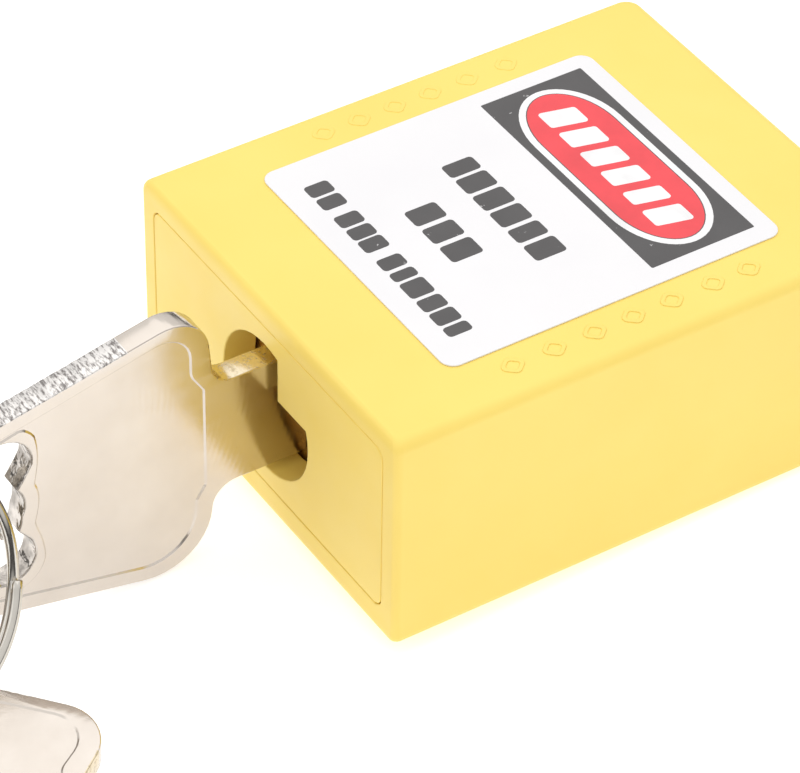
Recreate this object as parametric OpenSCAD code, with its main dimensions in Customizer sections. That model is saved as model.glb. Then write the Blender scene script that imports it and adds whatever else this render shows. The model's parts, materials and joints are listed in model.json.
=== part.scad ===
// Keyed safety lockout padlock, unlocked, with its service key turned and a spare key on a split ring.
// The lock is drawn about the cylinder's axis: X is across the body, Y runs from the keyhole face
// (Y = 0) to the shackle face, and Z is up through the label, with Z = 0 on the axis.
// in_row() then moves it all to the part's own origin, the centre of the back face. The axis sits a
// little above the middle of the body's thickness.

/* [Body] */
// Width of the body, across the label
body_w = 38; // [38:0.5:42]
// Length of the body, from the keyhole face to the shackle face
body_l = 47.5; // [47.5:0.5:52]
// Thickness of the body, from the back face to the label face
body_t = 20.8; // [20.8:0.2:24]
// Thickness of the shell's side walls
wall_t = 2.0; // [1.6:0.1:2.0]
// Rounding of the shell's long edges
edge_r = 1.0; // [0.6:0.1:1.4]
// Rounding of the shell's corners at the shackle end
corner_r = 1.5; // [1:0.5:4]
// Thickness of the keyhole cover
cover_t = 3.0; // [2.6:0.1:3]
// Radius of the keyhole
keyhole_r = 6.3; // [5.9:0.1:6.4]

/* [Label] */
// Width of the label
label_w = 27.6; // [24:0.2:32]
// Length of the label
label_l = 31.4; // [26:0.2:34]
// Rounding of the label's corners
label_r = 1.2; // [0.8:0.1:4]

/* [Shackle] */
// Diameter of the shackle
shackle_d = 6.0; // [5:0.1:6]
// Distance between the middles of the shackle's legs
leg_pitch = 26; // [26:0.5:27]
// Clear height under the shackle when it is closed
shackle_clear = 38; // [25:1:50]
// How far the shackle rises when it is unlocked
shackle_lift = 13.5; // [13:0.1:13.5]
// How far the shackle is swung from its closed line, in the pose shown
shackle_turn = 180; // [165:1:195]

/* [Keys] */
// Thickness of a key
key_t = 2.1; // [1.8:0.1:2.2]
// Height of a key's bow at its shoulder
bow_h = 26.8; // [24:0.2:27]
// Length of a key's bow
bow_l = 26.4; // [25:0.2:27]
// Depths of the five cuts in the blade, from the shoulder
cuts = [0.9, 2.1, 1.5, 2.7, 1.2];
// Radius of the split ring, to the middle of its wire
ring_r = 11.9; // [11.8:0.1:12]
// Thickness of the split ring's wire
wire_d = 0.95; // [0.9:0.05:1.1]

/* [Hidden] */
$fn = 48;

// Gaps: between parts that run in each other, and between parts that only sit together
run_gap = 0.05;
fit_gap = 0.1;

// Shell and frame
end_wall = 2.5;
cavity_w = body_w - 2 * wall_t;
cavity_t = 16.2;
axis_up = 0.4;
front_z = body_t / 2 - axis_up;
back_z = -body_t / 2 - axis_up;
frame_w = cavity_w - 2 * fit_gap;
frame_t = cavity_t - 2 * fit_gap;
frame_s0 = cover_t + fit_gap;
frame_s1 = body_l - end_wall - fit_gap;
leg_x = leg_pitch / 2;
leg_r = shackle_d / 2;
leg_hole_r = leg_r + run_gap;
shell_hole_r = leg_r + fit_gap;
label_t = 0.15;
label_at = [-0.2, 23.7];
quadrant_x = 1.85;

// Cylinder, plug and pins
plug_r = 5.9;
plug_s0 = 3.2;
plug_s1 = 26.4;
flange_r = 6.5;
flange_l = 1.2;
housing_r = 7.2;
housing_s1 = 24.8;
bible_x = -15.5;
bible_t = 5.2;
pin_r = 1.35;
pin_hole_r = pin_r + run_gap;
pin_count = 5;
pin_pitch = 3.4;
pin_s0 = 7.2;
driver_l = 4;
spring_wire = 0.35;
slide_x = bible_x + 0.6;
slide_t = 3.6;
slide_s0 = 4.6;
slide_s1 = 24.2;
keyway_l = 21.6;
clip_s0 = 25.05;
clip_t = 0.7;
clip_groove_r = 4.9;
clip_r = 6.9;
clip_mouth = 6;
pin_tip_r = 0.4;
pin_cone_l = 1.1;
pin_top_gap = 0.17;
tail_w = 3.0;
tail_l = 2.0;

// Cam, bolt and follower pin
cam_s0 = 26.6;
cam_t = 3.2;
cam_r = 7.6;
cam_pocket_r = 7.75;
follower_r = 0.9;
slot_r = follower_r + 0.1;
follower_x0 = 3.6;
bolt_throw = 2.5;
slot_over = 4;
bolt_s0 = cam_s0 + cam_t + 0.6;
bolt_base_t = 2.4;
bolt_base_x1 = 1;
bolt_web_x = -6.3;
bolt_web_t = 3.0;
bolt_h = 6.4;
nose_s0 = 38.2;
nose_s1 = 41.3;
nose_x = -leg_x + leg_hole_r + 0.1;
nose_h = 4.0;
nose_gap = 0.3;
follower_s0 = cam_s0 + 0.6;
follower_s1 = bolt_s0 + bolt_base_t - 0.4;

// Screws and pins that hold the frame, the cylinder, the cam and the shackle
frame_screw_at = [[7.4, 41.5], [-9.3, 28.6]];
screw_r = 1.0;
screw_head_r = 1.9;
screw_head_t = 1.1;
screw_floor = 2;
screw_tip_gap = 0.3;
cylinder_screw_s = [22.7, 27.8, 29.3];
cam_screw_r = 0.8;
cam_head_r = 2.0;
cam_head_t = 0.9;
cam_head_s = cam_s0 + 2.2;
cam_tip_gap = 0.2;
recess_l = 5;
recess_w = 0.5;
recess_d = 0.5;
cross_l = 3;
retainer_r = 1.0;
retainer_s = 31;
retainer_l = 14;
neck_r = 2.1;
neck_over = 0.4;
retainer_x = leg_x - neck_r - retainer_r - run_gap;

// Shackle, its spring and its plunger, when closed
long_leg_s0 = 14;
short_leg_s0 = 35;
short_hole_s0 = 33;
leg_chamfer = 0.6;
notch_depth = 2.5;
arch_s = body_l + shackle_clear - (leg_x - leg_r);
spring_s0 = 4.7;
plunger_l = 2.1;
plunger_stem_r = 1.5;
plunger_stem_l = 3.2;
plunger_s1 = long_leg_s0 + shackle_lift;
spring_out_r = 2.85;
spring_in_r = 2.15;

// Key: Y = 0 is the keyhole face, and the blade points along +Y
neck_h = 10.6;
shoulder_s = -5.8;
blade_h = 8.0;
blade_s1 = 24.2;
bow_s1 = shoulder_s - bow_l;
bow_taper = 0.21;
hole_s = -25.9;
hole_w = 6.7;
hole_h = 10;
hole_r = 3.7;
hole_scallops = [[2.3, 5.2, 2.5], [1.6, 1, 2.4], [2.3, -4.1, 2.45], [-1.2, 4.4, 2.4], [-1.2, -4.4, 2.4]];
cut_flat = 0.55;
cut_over = 1;

// Split ring and spare key, as they lie
ring_at = [0.94, -35.43, -1.25];
ring_tilt = 34;
spare_at = [28.57, -31.36, -9.8];
spare_yaw = 31.2;
spare_pitch = 3.6;
spare_roll = 3.1;

yellow = [0.96, 0.82, 0.32];
nickel = [0.78, 0.76, 0.72];
steel = [0.70, 0.71, 0.73];
brass = [0.80, 0.66, 0.36];
grey_nylon = [0.42, 0.43, 0.45];

function pin_s(i) = pin_s0 + i * pin_pitch;

// Points of a circular arc, from angle a0 to a1 in degrees
function arc(c, r, a0, a1, n = 8) = [for (i = [0:n]) let (a = a0 + (a1 - a0) * i / n)
    [c[0] + r * cos(a), c[1] + r * sin(a)]];

// One corner of an outline, rounded with radius p[2] between the corners before and after it
function corner(a, p, b) =
    let (u = [a[0] - p[0], a[1] - p[1]] / norm([a[0] - p[0], a[1] - p[1]]),
         v = [b[0] - p[0], b[1] - p[1]] / norm([b[0] - p[0], b[1] - p[1]]),
         half = acos(u * v) / 2,
         m = (u + v) / norm(u + v),
         c = [p[0], p[1]] + m * p[2] / sin(half),
         a0 = atan2(-v[1], -v[0]),
         t = c - m * p[2],
         side = sign(u[0] * v[1] - u[1] * v[0]),
         mid = atan2(t[1] - c[1], t[0] - c[0]),
         swing = 90 - half)
    arc(c, p[2], mid + side * swing, mid - side * swing);

// An outline from corners [x, y, radius], where radius 0 is left sharp
function outline(pts) = let (n = len(pts)) [for (i = [0:n - 1])
    each (pts[i][2] > 0 ? corner(pts[(i + n - 1) % n], pts[i], pts[(i + 1) % n])
        : [[pts[i][0], pts[i][1]]])];

module in_row() translate([0, -body_l / 2, -back_z]) children();
module rod_y(r, s0, s1, x = 0) translate([x, s0, 0]) rotate([-90, 0, 0]) cylinder(r = r, h = s1 - s0);
module cone_y(r0, r1, s0, s1, x = 0) translate([x, s0, 0]) rotate([-90, 0, 0])
    cylinder(r1 = r0, r2 = r1, h = s1 - s0);
module rod_x(r, x0, x1, s) translate([x0, s, 0]) rotate([0, 90, 0]) cylinder(r = r, h = x1 - x0);
module rod_z(r, z0, z1, x, s) translate([x, s, z0]) cylinder(r = r, h = z1 - z0);
module block(x, s, z) translate([x[0], s[0], z[0]]) cube([x[1] - x[0], s[1] - s[0], z[1] - z[0]]);
// A flat shape drawn in X and Z, made solid from Y = s0 to s1
module prism(s0, s1) translate([0, s1, 0]) rotate([90, 0, 0]) linear_extrude(s1 - s0) children();
// A straight driver slot, cut into a screw head whose top is at Z = 0
module recess(l) cube([l, recess_w, 2 * recess_d], center = true);

module rounded_rect(w, h, r) {
    square([w - 2 * r, h], center = true);
    square([w, h - 2 * r], center = true);
    for (x = [-1, 1], y = [-1, 1])
        translate([x * (w / 2 - r), y * (h / 2 - r)]) circle(r);
}

module body_shell() color(yellow) in_row() difference() {
    intersection() {
        prism(0, body_l) translate([0, -axis_up]) rounded_rect(body_w, body_t, edge_r);
        translate([0, 0, back_z]) linear_extrude(body_t) union() {
            translate([-body_w / 2, 0]) square([body_w, body_l - corner_r]);
            translate([-body_w / 2 + corner_r, 0]) square([body_w - 2 * corner_r, body_l]);
            for (x = [-1, 1]) translate([x * (body_w / 2 - corner_r), body_l - corner_r]) circle(corner_r);
        }
    }
    prism(-1, body_l - end_wall) square([cavity_w, cavity_t], center = true);
    for (x = [-1, 1]) rod_y(shell_hole_r, body_l - end_wall - 1, body_l + 1, x * leg_x);
}

// Two quarters of the round hole are filled, so the key turns only from upright to level
module keyhole() difference() {
    circle(keyhole_r);
    for (q = [1, -1]) translate([q * (quadrant_x + keyhole_r), q * (quadrant_x + keyhole_r)])
        square(2 * keyhole_r, center = true);
}

module keyhole_cover() color(yellow) in_row() prism(0, cover_t) difference() {
    square([frame_w, frame_t], center = true);
    keyhole();
}

module label() color("white") in_row() translate([label_at[0], label_at[1], front_z])
    linear_extrude(label_t) rounded_rect(label_w, label_l, label_r);

// Outline of the cylinder, a barrel with the pin chambers' block on its -X side
module housing_outline(gap) {
    circle(housing_r + gap);
    translate([bible_x - gap, -bible_t / 2 - gap]) square([-bible_x + gap, bible_t + 2 * gap]);
}

// Room for the bolt to slide in, out to x1 on its +X side
module bolt_way(s, x1) block([bolt_web_x - bolt_throw - fit_gap, x1 + fit_gap], s,
    [-bolt_h / 2 - fit_gap, bolt_h / 2 + fit_gap]);

module frame_block() difference() {
    block([-frame_w / 2, frame_w / 2], [frame_s0, frame_s1], [-frame_t / 2, frame_t / 2]);
    prism(0, housing_s1 + fit_gap) housing_outline(run_gap);
    rod_y(cam_pocket_r, housing_s1, cam_s0 + cam_t + 0.2);
    rod_y(leg_hole_r, spring_s0 - fit_gap, body_l, leg_x);
    rod_y(leg_hole_r, short_hole_s0, body_l, -leg_x);
    rod_y(screw_head_r + 0.5, cylinder_screw_s[1], short_hole_s0 + 1, -leg_x);
    rod_y(screw_r, housing_s1, cylinder_screw_s[1] + 1, -leg_x);
    bolt_way([cam_s0 + cam_t, bolt_s0 + bolt_base_t + fit_gap], bolt_base_x1);
    bolt_way([bolt_s0, nose_s1 + fit_gap], bolt_web_x + bolt_web_t);
    block([-leg_x, bolt_web_x], [nose_s0 - fit_gap, nose_s1 + fit_gap],
        [-nose_h / 2 - fit_gap, nose_h / 2 + fit_gap]);
    rod_z(retainer_r, -retainer_l / 2, retainer_l / 2, retainer_x, retainer_s);
    for (p = frame_screw_at) {
        rod_z(screw_r, -frame_t / 2 + screw_floor, frame_t, p[0], p[1]);
        rod_z(screw_head_r + run_gap, frame_t / 2 - screw_head_t - fit_gap, frame_t, p[0], p[1]);
    }
}

module frame_front() color(grey_nylon) in_row() intersection() {
    frame_block();
    block([-body_w, body_w], [0, body_l], [0, body_t]);
}

module frame_back() color(grey_nylon) in_row() intersection() {
    frame_block();
    block([-body_w, body_w], [0, body_l], [-body_t, 0]);
}

module frame_screws() color(steel) in_row() for (p = frame_screw_at) difference() {
    union() {
        rod_z(screw_r, -frame_t / 2 + screw_floor + screw_tip_gap, frame_t / 2 - 1, p[0], p[1]);
        rod_z(screw_head_r, frame_t / 2 - screw_head_t - fit_gap, frame_t / 2 - fit_gap, p[0], p[1]);
    }
    translate([p[0], p[1], frame_t / 2 - fit_gap]) {
        recess(cross_l);
        rotate([0, 0, 90]) recess(cross_l);
    }
}

module cylinder_housing() color(brass) in_row() difference() {
    prism(plug_s0, housing_s1) housing_outline(0);
    rod_y(plug_r + run_gap, 0, body_l);
    rod_y(flange_r + run_gap, 0, plug_s0 + flange_l + run_gap);
    for (i = [0:pin_count - 1]) rod_x(pin_hole_r, bible_x - 1, -plug_r + 1, pin_s(i));
    block([bible_x - 1, slide_x], [slide_s0 - run_gap, slide_s1 + run_gap], [-slide_t / 2, slide_t / 2]);
    rod_y(screw_r, cylinder_screw_s[0] - screw_tip_gap, housing_s1 + 1, -leg_x);
}

module chamber_cover() color(brass) in_row()
    block([bible_x, slide_x], [slide_s0, slide_s1], [-slide_t / 2 + run_gap, slide_t / 2 - run_gap]);

module driver_pins() color(steel) in_row() for (i = [0:pin_count - 1])
    rod_x(pin_r, -plug_r - 2 * run_gap - driver_l, -plug_r - 2 * run_gap, pin_s(i));

module pin_springs() color(steel) in_row() for (i = [0:pin_count - 1]) difference() {
    rod_x(pin_r - run_gap, slide_x, -plug_r - 2 * run_gap - driver_l, pin_s(i));
    rod_x(pin_r - run_gap - spring_wire, bible_x, 0, pin_s(i));
}

module cylinder_screw() color(steel) in_row() difference() {
    union() {
        rod_y(screw_r, cylinder_screw_s[0], cylinder_screw_s[1], -leg_x);
        rod_y(screw_head_r, cylinder_screw_s[1], cylinder_screw_s[2], -leg_x);
    }
    translate([-leg_x, cylinder_screw_s[2], 0]) rotate([90, 0, 0]) recess(recess_l);
}

module cylinder_plug() color(brass) in_row() difference() {
    union() {
        rod_y(plug_r, plug_s0, plug_s1);
        rod_y(flange_r, plug_s0, plug_s0 + flange_l);
        block([-tail_w / 2, tail_w / 2], [plug_s1 - 1, plug_s1 + tail_l], [-tail_w / 2, tail_w / 2]);
    }
    block([-key_t / 2 - run_gap, key_t / 2 + run_gap], [0, plug_s0 + keyway_l],
        [-blade_h / 2 - run_gap, blade_h / 2 + run_gap]);
    for (i = [0:pin_count - 1]) rod_z(pin_hole_r, 0, plug_r + 1, 0, pin_s(i));
    difference() {
        rod_y(plug_r + 1, clip_s0 - run_gap, clip_s0 + clip_t + run_gap);
        rod_y(clip_groove_r, 0, body_l);
    }
    rod_y(cam_screw_r, plug_s0 + keyway_l + cam_tip_gap, body_l);
}

// Each key pin stands on its own cut and ends flush with the plug
module key_pins() color(brass) in_row() for (i = [0:pin_count - 1])
    let (foot = blade_h / 2 - cuts[i])
    translate([0, pin_s(i), foot]) {
        cylinder(r1 = pin_tip_r, r2 = pin_r, h = pin_cone_l);
        translate([0, 0, pin_cone_l]) cylinder(r = pin_r, h = plug_r - pin_top_gap - foot - pin_cone_l);
    }

module plug_clip() color(steel) in_row() difference() {
    rod_y(clip_r, clip_s0, clip_s0 + clip_t);
    rod_y(clip_groove_r + run_gap, 0, body_l);
    block([-clip_mouth / 2, clip_mouth / 2], [0, body_l], [-clip_r - 1, 0]);
}

// The cam's slot is a spiral, so the bolt moves in step with the key all the way. A place on it is
// given by how far the key has turned, and off is the distance out from the slot's middle line.
function slot_radius(turn) = follower_x0 + bolt_throw * turn / 90;
function slot_side(turn) = 180 - turn + atan(bolt_throw / (90 * PI / 180) / slot_radius(turn));
function slot_point(turn, off) = slot_radius(turn) * [cos(180 - turn), sin(180 - turn)]
    + off * [cos(slot_side(turn)), sin(slot_side(turn))];
function slot_end(turn, start) = arc(slot_point(turn, 0), slot_r, slot_side(turn) + start,
    slot_side(turn) + start - 180);

module cam_slot() {
    steps = 24;
    turns = [for (i = [0:steps]) -slot_over + (90 + 2 * slot_over) * i / steps];
    polygon(concat([for (i = [1:steps - 1]) slot_point(turns[i], slot_r)], slot_end(turns[steps], 0),
        [for (i = [steps - 1:-1:1]) slot_point(turns[i], -slot_r)], slot_end(turns[0], 180)));
}

module cam() color(steel) in_row() difference() {
    rod_y(cam_r, cam_s0, cam_s0 + cam_t);
    prism(0, body_l) cam_slot();
    block([-tail_w / 2 - run_gap, tail_w / 2 + run_gap], [0, plug_s1 + tail_l + fit_gap],
        [-tail_w / 2 - run_gap, tail_w / 2 + run_gap]);
    rod_y(cam_screw_r + fit_gap, 0, body_l);
    rod_y(cam_head_r + fit_gap, cam_head_s, body_l);
}

module cam_screw() color(steel) in_row() difference() {
    union() {
        rod_y(cam_screw_r, plug_s0 + keyway_l + 2 * cam_tip_gap, cam_head_s + fit_gap);
        rod_y(cam_head_r, cam_head_s, cam_head_s + cam_head_t);
    }
    translate([0, cam_head_s + cam_head_t, 0]) rotate([90, 0, 0]) recess(recess_l);
}

module lock_bolt() color(steel) in_row() difference() {
    union() {
        block([bolt_web_x, bolt_base_x1], [bolt_s0, bolt_s0 + bolt_base_t], [-bolt_h / 2, bolt_h / 2]);
        block([bolt_web_x, bolt_web_x + bolt_web_t], [bolt_s0, nose_s1], [-bolt_h / 2, bolt_h / 2]);
        block([nose_x, bolt_web_x + 1], [nose_s0, nose_s1], [-nose_h / 2, nose_h / 2]);
    }
    rod_y(follower_r, 0, follower_s1, -follower_x0);
}

module follower_pin() color(steel) in_row() rod_y(follower_r, follower_s0, follower_s1, -follower_x0);

// A shackle leg, with its free end chamfered
module leg(x, s0, s1) {
    cone_y(leg_r - leg_chamfer, leg_r, s0, s0 + leg_chamfer, x);
    rod_y(leg_r, s0 + leg_chamfer, s1, x);
}

module closed_shackle() difference() {
    union() {
        leg(leg_x, long_leg_s0, arch_s);
        leg(-leg_x, short_leg_s0, arch_s);
        translate([0, arch_s, 0]) rotate_extrude(angle = 180) translate([leg_x, 0]) circle(leg_r);
    }
    difference() {
        rod_y(leg_r + 1, retainer_s - retainer_r - run_gap - shackle_lift,
            retainer_s + retainer_r + neck_over, leg_x);
        rod_y(neck_r, 0, body_l, leg_x);
    }
    block([-leg_x + leg_r - notch_depth, -leg_x + leg_r + 1], [nose_s0 - nose_gap, nose_s1 + nose_gap],
        [-leg_r, leg_r]);
}

// The unlocked shackle stands up on its long leg and hangs over to one side
module shackle() color(steel) in_row() translate([leg_x, shackle_lift, 0]) rotate([0, shackle_turn, 0])
    translate([-leg_x, 0, 0]) closed_shackle();

module shackle_retaining_pin() color(steel) in_row()
    rod_z(retainer_r, -retainer_l / 2, retainer_l / 2, retainer_x, retainer_s);

module spring_plunger() color(brass) in_row() union() {
    rod_y(leg_r - run_gap, plunger_s1 - plunger_l, plunger_s1, leg_x);
    rod_y(plunger_stem_r, plunger_s1 - plunger_l - plunger_stem_l, plunger_s1 - plunger_l, leg_x);
}

module shackle_spring() color(steel) in_row() difference() {
    rod_y(spring_out_r, spring_s0, plunger_s1 - plunger_l, leg_x);
    rod_y(spring_in_r, 0, body_l, leg_x);
}

// Corners of the key, from the blade's top around its tip and back along the bow
function key_outline() = let (bow_z = bow_h / 2, end_z = bow_z - bow_taper * bow_l)
    outline([[plug_s0, neck_h / 2, 0], [plug_s0, blade_h / 2, 0], [blade_s1 - 1.2, blade_h / 2, 0],
        [blade_s1, -1, 0.8], [blade_s1 - 2.5, -blade_h / 2, 0],
        [plug_s0, -blade_h / 2, 0], [plug_s0, -neck_h / 2, 0],
        [shoulder_s + 0.5, -neck_h / 2, 2.2], [shoulder_s, -bow_z, 5.2],
        [bow_s1, -end_z, 5], [bow_s1, end_z, 5],
        [shoulder_s, bow_z, 3.6], [shoulder_s + 0.7, neck_h / 2, 1.8]]);

// One cut in the blade's upper edge, a flat with a slope on each side
module key_cut(depth) polygon([[-cut_flat, -depth], [cut_flat, -depth],
    [cut_flat + depth + cut_over, cut_over], [-cut_flat - depth - cut_over, cut_over]]);

// The bow's hole has scalloped edges
module bow_hole() translate([hole_s, 0]) {
    square([hole_w, hole_h], center = true);
    circle(hole_r);
    for (p = hole_scallops) translate([p[0], p[1]]) circle(p[2]);
}

module key_blank() translate([-key_t / 2, 0, 0]) rotate([90, 0, 90]) linear_extrude(key_t) difference() {
    polygon(key_outline());
    bow_hole();
    for (i = [0:pin_count - 1]) translate([pin_s(i), blade_h / 2]) key_cut(cuts[i]);
}

module service_key() color(nickel) in_row() key_blank();

module split_ring() color(nickel) in_row() translate(ring_at) rotate([0, 90 - ring_tilt, 0])
    rotate_extrude() translate([ring_r, 0]) square([wire_d, 2 * wire_d], center = true);

module spare_key() color(nickel) in_row() translate(spare_at) rotate([0, 0, spare_yaw - 90])
    rotate([-spare_pitch, 0, 0]) rotate([0, spare_roll - 90, 0]) key_blank();

body_shell();
keyhole_cover();
label();
frame_front();
frame_back();
frame_screws();
cylinder_housing();
chamber_cover();
driver_pins();
pin_springs();
cylinder_screw();
cylinder_plug();
key_pins();
plug_clip();
cam();
cam_screw();
lock_bolt();
follower_pin();
shackle();
shackle_retaining_pin();
spring_plunger();
shackle_spring();
service_key();
split_ring();
spare_key();
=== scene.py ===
import json
import math
import random

import bmesh
import bpy
import numpy as np
from mathutils import Matrix, Vector
from mathutils.geometry import delaunay_2d_cdt


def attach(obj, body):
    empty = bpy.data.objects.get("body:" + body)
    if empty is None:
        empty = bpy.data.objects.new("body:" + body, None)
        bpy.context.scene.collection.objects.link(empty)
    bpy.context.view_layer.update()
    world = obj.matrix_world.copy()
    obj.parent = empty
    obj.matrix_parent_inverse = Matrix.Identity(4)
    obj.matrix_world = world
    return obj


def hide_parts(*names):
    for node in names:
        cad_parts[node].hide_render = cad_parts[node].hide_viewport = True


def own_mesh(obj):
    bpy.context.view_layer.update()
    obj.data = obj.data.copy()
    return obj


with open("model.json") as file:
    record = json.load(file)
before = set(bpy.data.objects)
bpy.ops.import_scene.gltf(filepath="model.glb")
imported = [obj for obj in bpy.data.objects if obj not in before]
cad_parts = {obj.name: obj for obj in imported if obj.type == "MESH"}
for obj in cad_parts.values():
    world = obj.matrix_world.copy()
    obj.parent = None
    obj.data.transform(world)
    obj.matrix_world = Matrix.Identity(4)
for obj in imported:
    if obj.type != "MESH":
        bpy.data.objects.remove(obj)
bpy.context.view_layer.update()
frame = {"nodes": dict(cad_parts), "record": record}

# Places are in millimetres, measured as on the lock: x across the body, s from the keyhole face
# towards the shackle, z up from the back face. row() turns them into the part's own metres.
# Materials are in metres.
BODY_W, BODY_L, BODY_T = 38.0, 47.5, 20.8
AXIS_Z = 10.8
LEG_X = 13.0
PIN_FIRST, PIN_PITCH = 7.2, 3.4


def row(x, s, z):
    return (x / 1000, (s - BODY_L / 2) / 1000, z / 1000)


def row_matrix(move=None):
    base = Matrix.Scale(0.001, 4) @ Matrix.Translation((0, -BODY_L / 2, 0))
    return base if move is None else base @ move


# ---------------------------------------------------------------- camera
VIEW_AZIMUTH, VIEW_ELEVATION, VIEW_ROLL = 56.81, 41.07, 1.0
EYE_RIGHT, EYE_UP, EYE_BACK = 10.70, 9.66, 348.9
FOCAL_PIXELS, IMAGE_W, SENSOR_W = 4375.4, 800, 36


def add_camera():
    az, el, roll = (math.radians(a) for a in (VIEW_AZIMUTH, VIEW_ELEVATION, VIEW_ROLL))
    back = Vector((math.sin(az) * math.cos(el), -math.cos(az) * math.cos(el), math.sin(el)))
    level = Vector((0, 0, 1)).cross(back).normalized()
    above = back.cross(level)
    right = math.cos(roll) * level + math.sin(roll) * above
    up = -math.sin(roll) * level + math.cos(roll) * above
    cam = bpy.data.cameras.new("camera")
    cam.sensor_width = SENSOR_W
    cam.lens = FOCAL_PIXELS * SENSOR_W / IMAGE_W
    cam.clip_start, cam.clip_end = 0.01, 20
    obj = bpy.data.objects.new("camera", cam)
    bpy.context.scene.collection.objects.link(obj)
    place_at = Matrix((right, up, back)).transposed().to_4x4()
    place_at.translation = Vector(row(*(EYE_RIGHT * right + EYE_UP * up + EYE_BACK * back)))
    obj.matrix_world = place_at
    bpy.context.scene.camera = obj


# ---------------------------------------------------------------- materials
class Mat:
    """A Principled material, with short calls for the nodes that it uses."""

    def __init__(self, name, color, rough=0.5, metal=0.0):
        self.mat = bpy.data.materials.new(name)
        self.mat.use_nodes = True
        self.nt = self.mat.node_tree
        self.bsdf = self.nt.nodes["Principled BSDF"]
        self.coord = self.nt.nodes.new("ShaderNodeTexCoord").outputs["Object"]
        self.set("Base Color", (*color, 1))
        self.set("Roughness", rough)
        self.set("Metallic", metal)

    def set(self, name, value):
        self.bsdf.inputs[name].default_value = value

    def link(self, out, name):
        self.nt.links.new(out, self.bsdf.inputs[name])

    def node(self, kind, **inputs):
        """A new node; each input is given a value or another node's output."""
        n = self.nt.nodes.new("ShaderNode" + kind)
        for key, value in inputs.items():
            socket = n.inputs[key.replace("_", " ")]
            if isinstance(value, bpy.types.NodeSocket):
                self.nt.links.new(value, socket)
            else:
                socket.default_value = value
        return n

    def noise(self, scale, detail=4, rough=0.5, stretch=(1, 1, 1)):
        at = self.node("Mapping", Scale=stretch, Vector=self.coord).outputs["Vector"]
        return self.node("TexNoise", Scale=scale, Detail=detail, Roughness=rough, Vector=at).outputs["Fac"]

    def span(self, fac, lo, hi, a=0.0, b=1.0):
        """Turns lo to hi into a to b."""
        n = self.node("MapRange", From_Min=lo, From_Max=hi, To_Min=a, To_Max=b, Value=fac)
        return n.outputs["Result"]

    def mix(self, fac, a, b):
        n = self.node("Mix", Factor=fac)
        n.data_type = "RGBA"
        for key, v in (("A", a), ("B", b)):
            socket = next(i for i in n.inputs if i.name == key and i.type == "RGBA")
            if isinstance(v, tuple):
                socket.default_value = (*v, 1)
            else:
                self.nt.links.new(v, socket)
        return next(o for o in n.outputs if o.type == "RGBA")

    def bump(self, height, strength, distance, under=None):
        n = self.node("Bump", Strength=strength, Distance=distance, Height=height)
        if under is not None:
            self.nt.links.new(under, n.inputs["Normal"])
        return n.outputs["Normal"]

    def tint(self, fac, lo, hi, a, b):
        """Base colour from a to b, as fac goes from lo to hi."""
        self.link(self.mix(self.span(fac, lo, hi), a, b), "Base Color")

    def gloss(self, fac, lo, hi, a, b):
        """Roughness from a to b, as fac goes from lo to hi."""
        self.link(self.span(fac, lo, hi, a, b), "Roughness")


def nylon(name, color, deep, rough):
    """Moulded plastic with soft tone, and a fine and a broad unevenness."""
    m = Mat(name, color, rough)
    m.tint(m.noise(60, 3), 0.35, 0.7, color, deep)
    m.gloss(m.noise(240, 3), 0.3, 0.7, rough - 0.05, rough + 0.07)
    fine = m.bump(m.noise(2600, 3, 0.6), 0.12, 0.00002)
    m.link(m.bump(m.noise(160, 2), 0.10, 0.0001, fine), "Normal")
    return m


def metal(name, color, dark, rough, grain=(1, 1, 1), grain_scale=900, bump=0.12):
    """Metal with uneven tone, and a grain that is finer along the larger numbers of grain."""
    m = Mat(name, color, rough, 1.0)
    m.tint(m.noise(130, 4, 0.6), 0.3, 0.75, color, dark)
    m.gloss(m.noise(grain_scale, 3, 0.6, grain), 0.3, 0.7, rough * 0.75, rough * 1.35)
    m.link(m.bump(m.noise(grain_scale, 3, 0.6, grain), bump, 0.00003), "Normal")
    return m


def nickel_face():
    """Nickel plate with a fine grain, and patches of ring-shaped grinding marks."""
    m = Mat("nickel_key", (0.665, 0.605, 0.545), 0.2, 1.0)
    m.tint(m.noise(150, 5, 0.6), 0.3, 0.75, (0.685, 0.625, 0.565), (0.625, 0.56, 0.495))
    m.gloss(m.noise(420, 5, 0.65, (1, 0.6, 1)), 0.3, 0.72, 0.14, 0.25)
    middle = m.node("VectorMath")
    m.nt.links.new(m.coord, middle.inputs[0])
    middle.inputs[1].default_value = (0, 0.052, -0.018)
    rings = m.node("TexWave", Scale=560, Distortion=1.5, Detail_Scale=0.6, Vector=middle.outputs[0])
    rings.wave_type, rings.rings_direction = "RINGS", "SPHERICAL"
    patch = m.node("Math")
    patch.operation = "MULTIPLY"
    m.nt.links.new(rings.outputs["Fac"], patch.inputs[0])
    m.nt.links.new(m.span(m.noise(130, 2), 0.46, 0.60), patch.inputs[1])
    swirl = m.bump(patch.outputs[0], 0.085, 0.00003)
    grain = m.bump(m.noise(3800, 3, 0.6), 0.10, 0.00001, swirl)
    m.link(m.bump(m.noise(700, 3, 0.5, (1, 0.5, 1)), 0.06, 0.00002, grain), "Normal")
    return m


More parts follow.
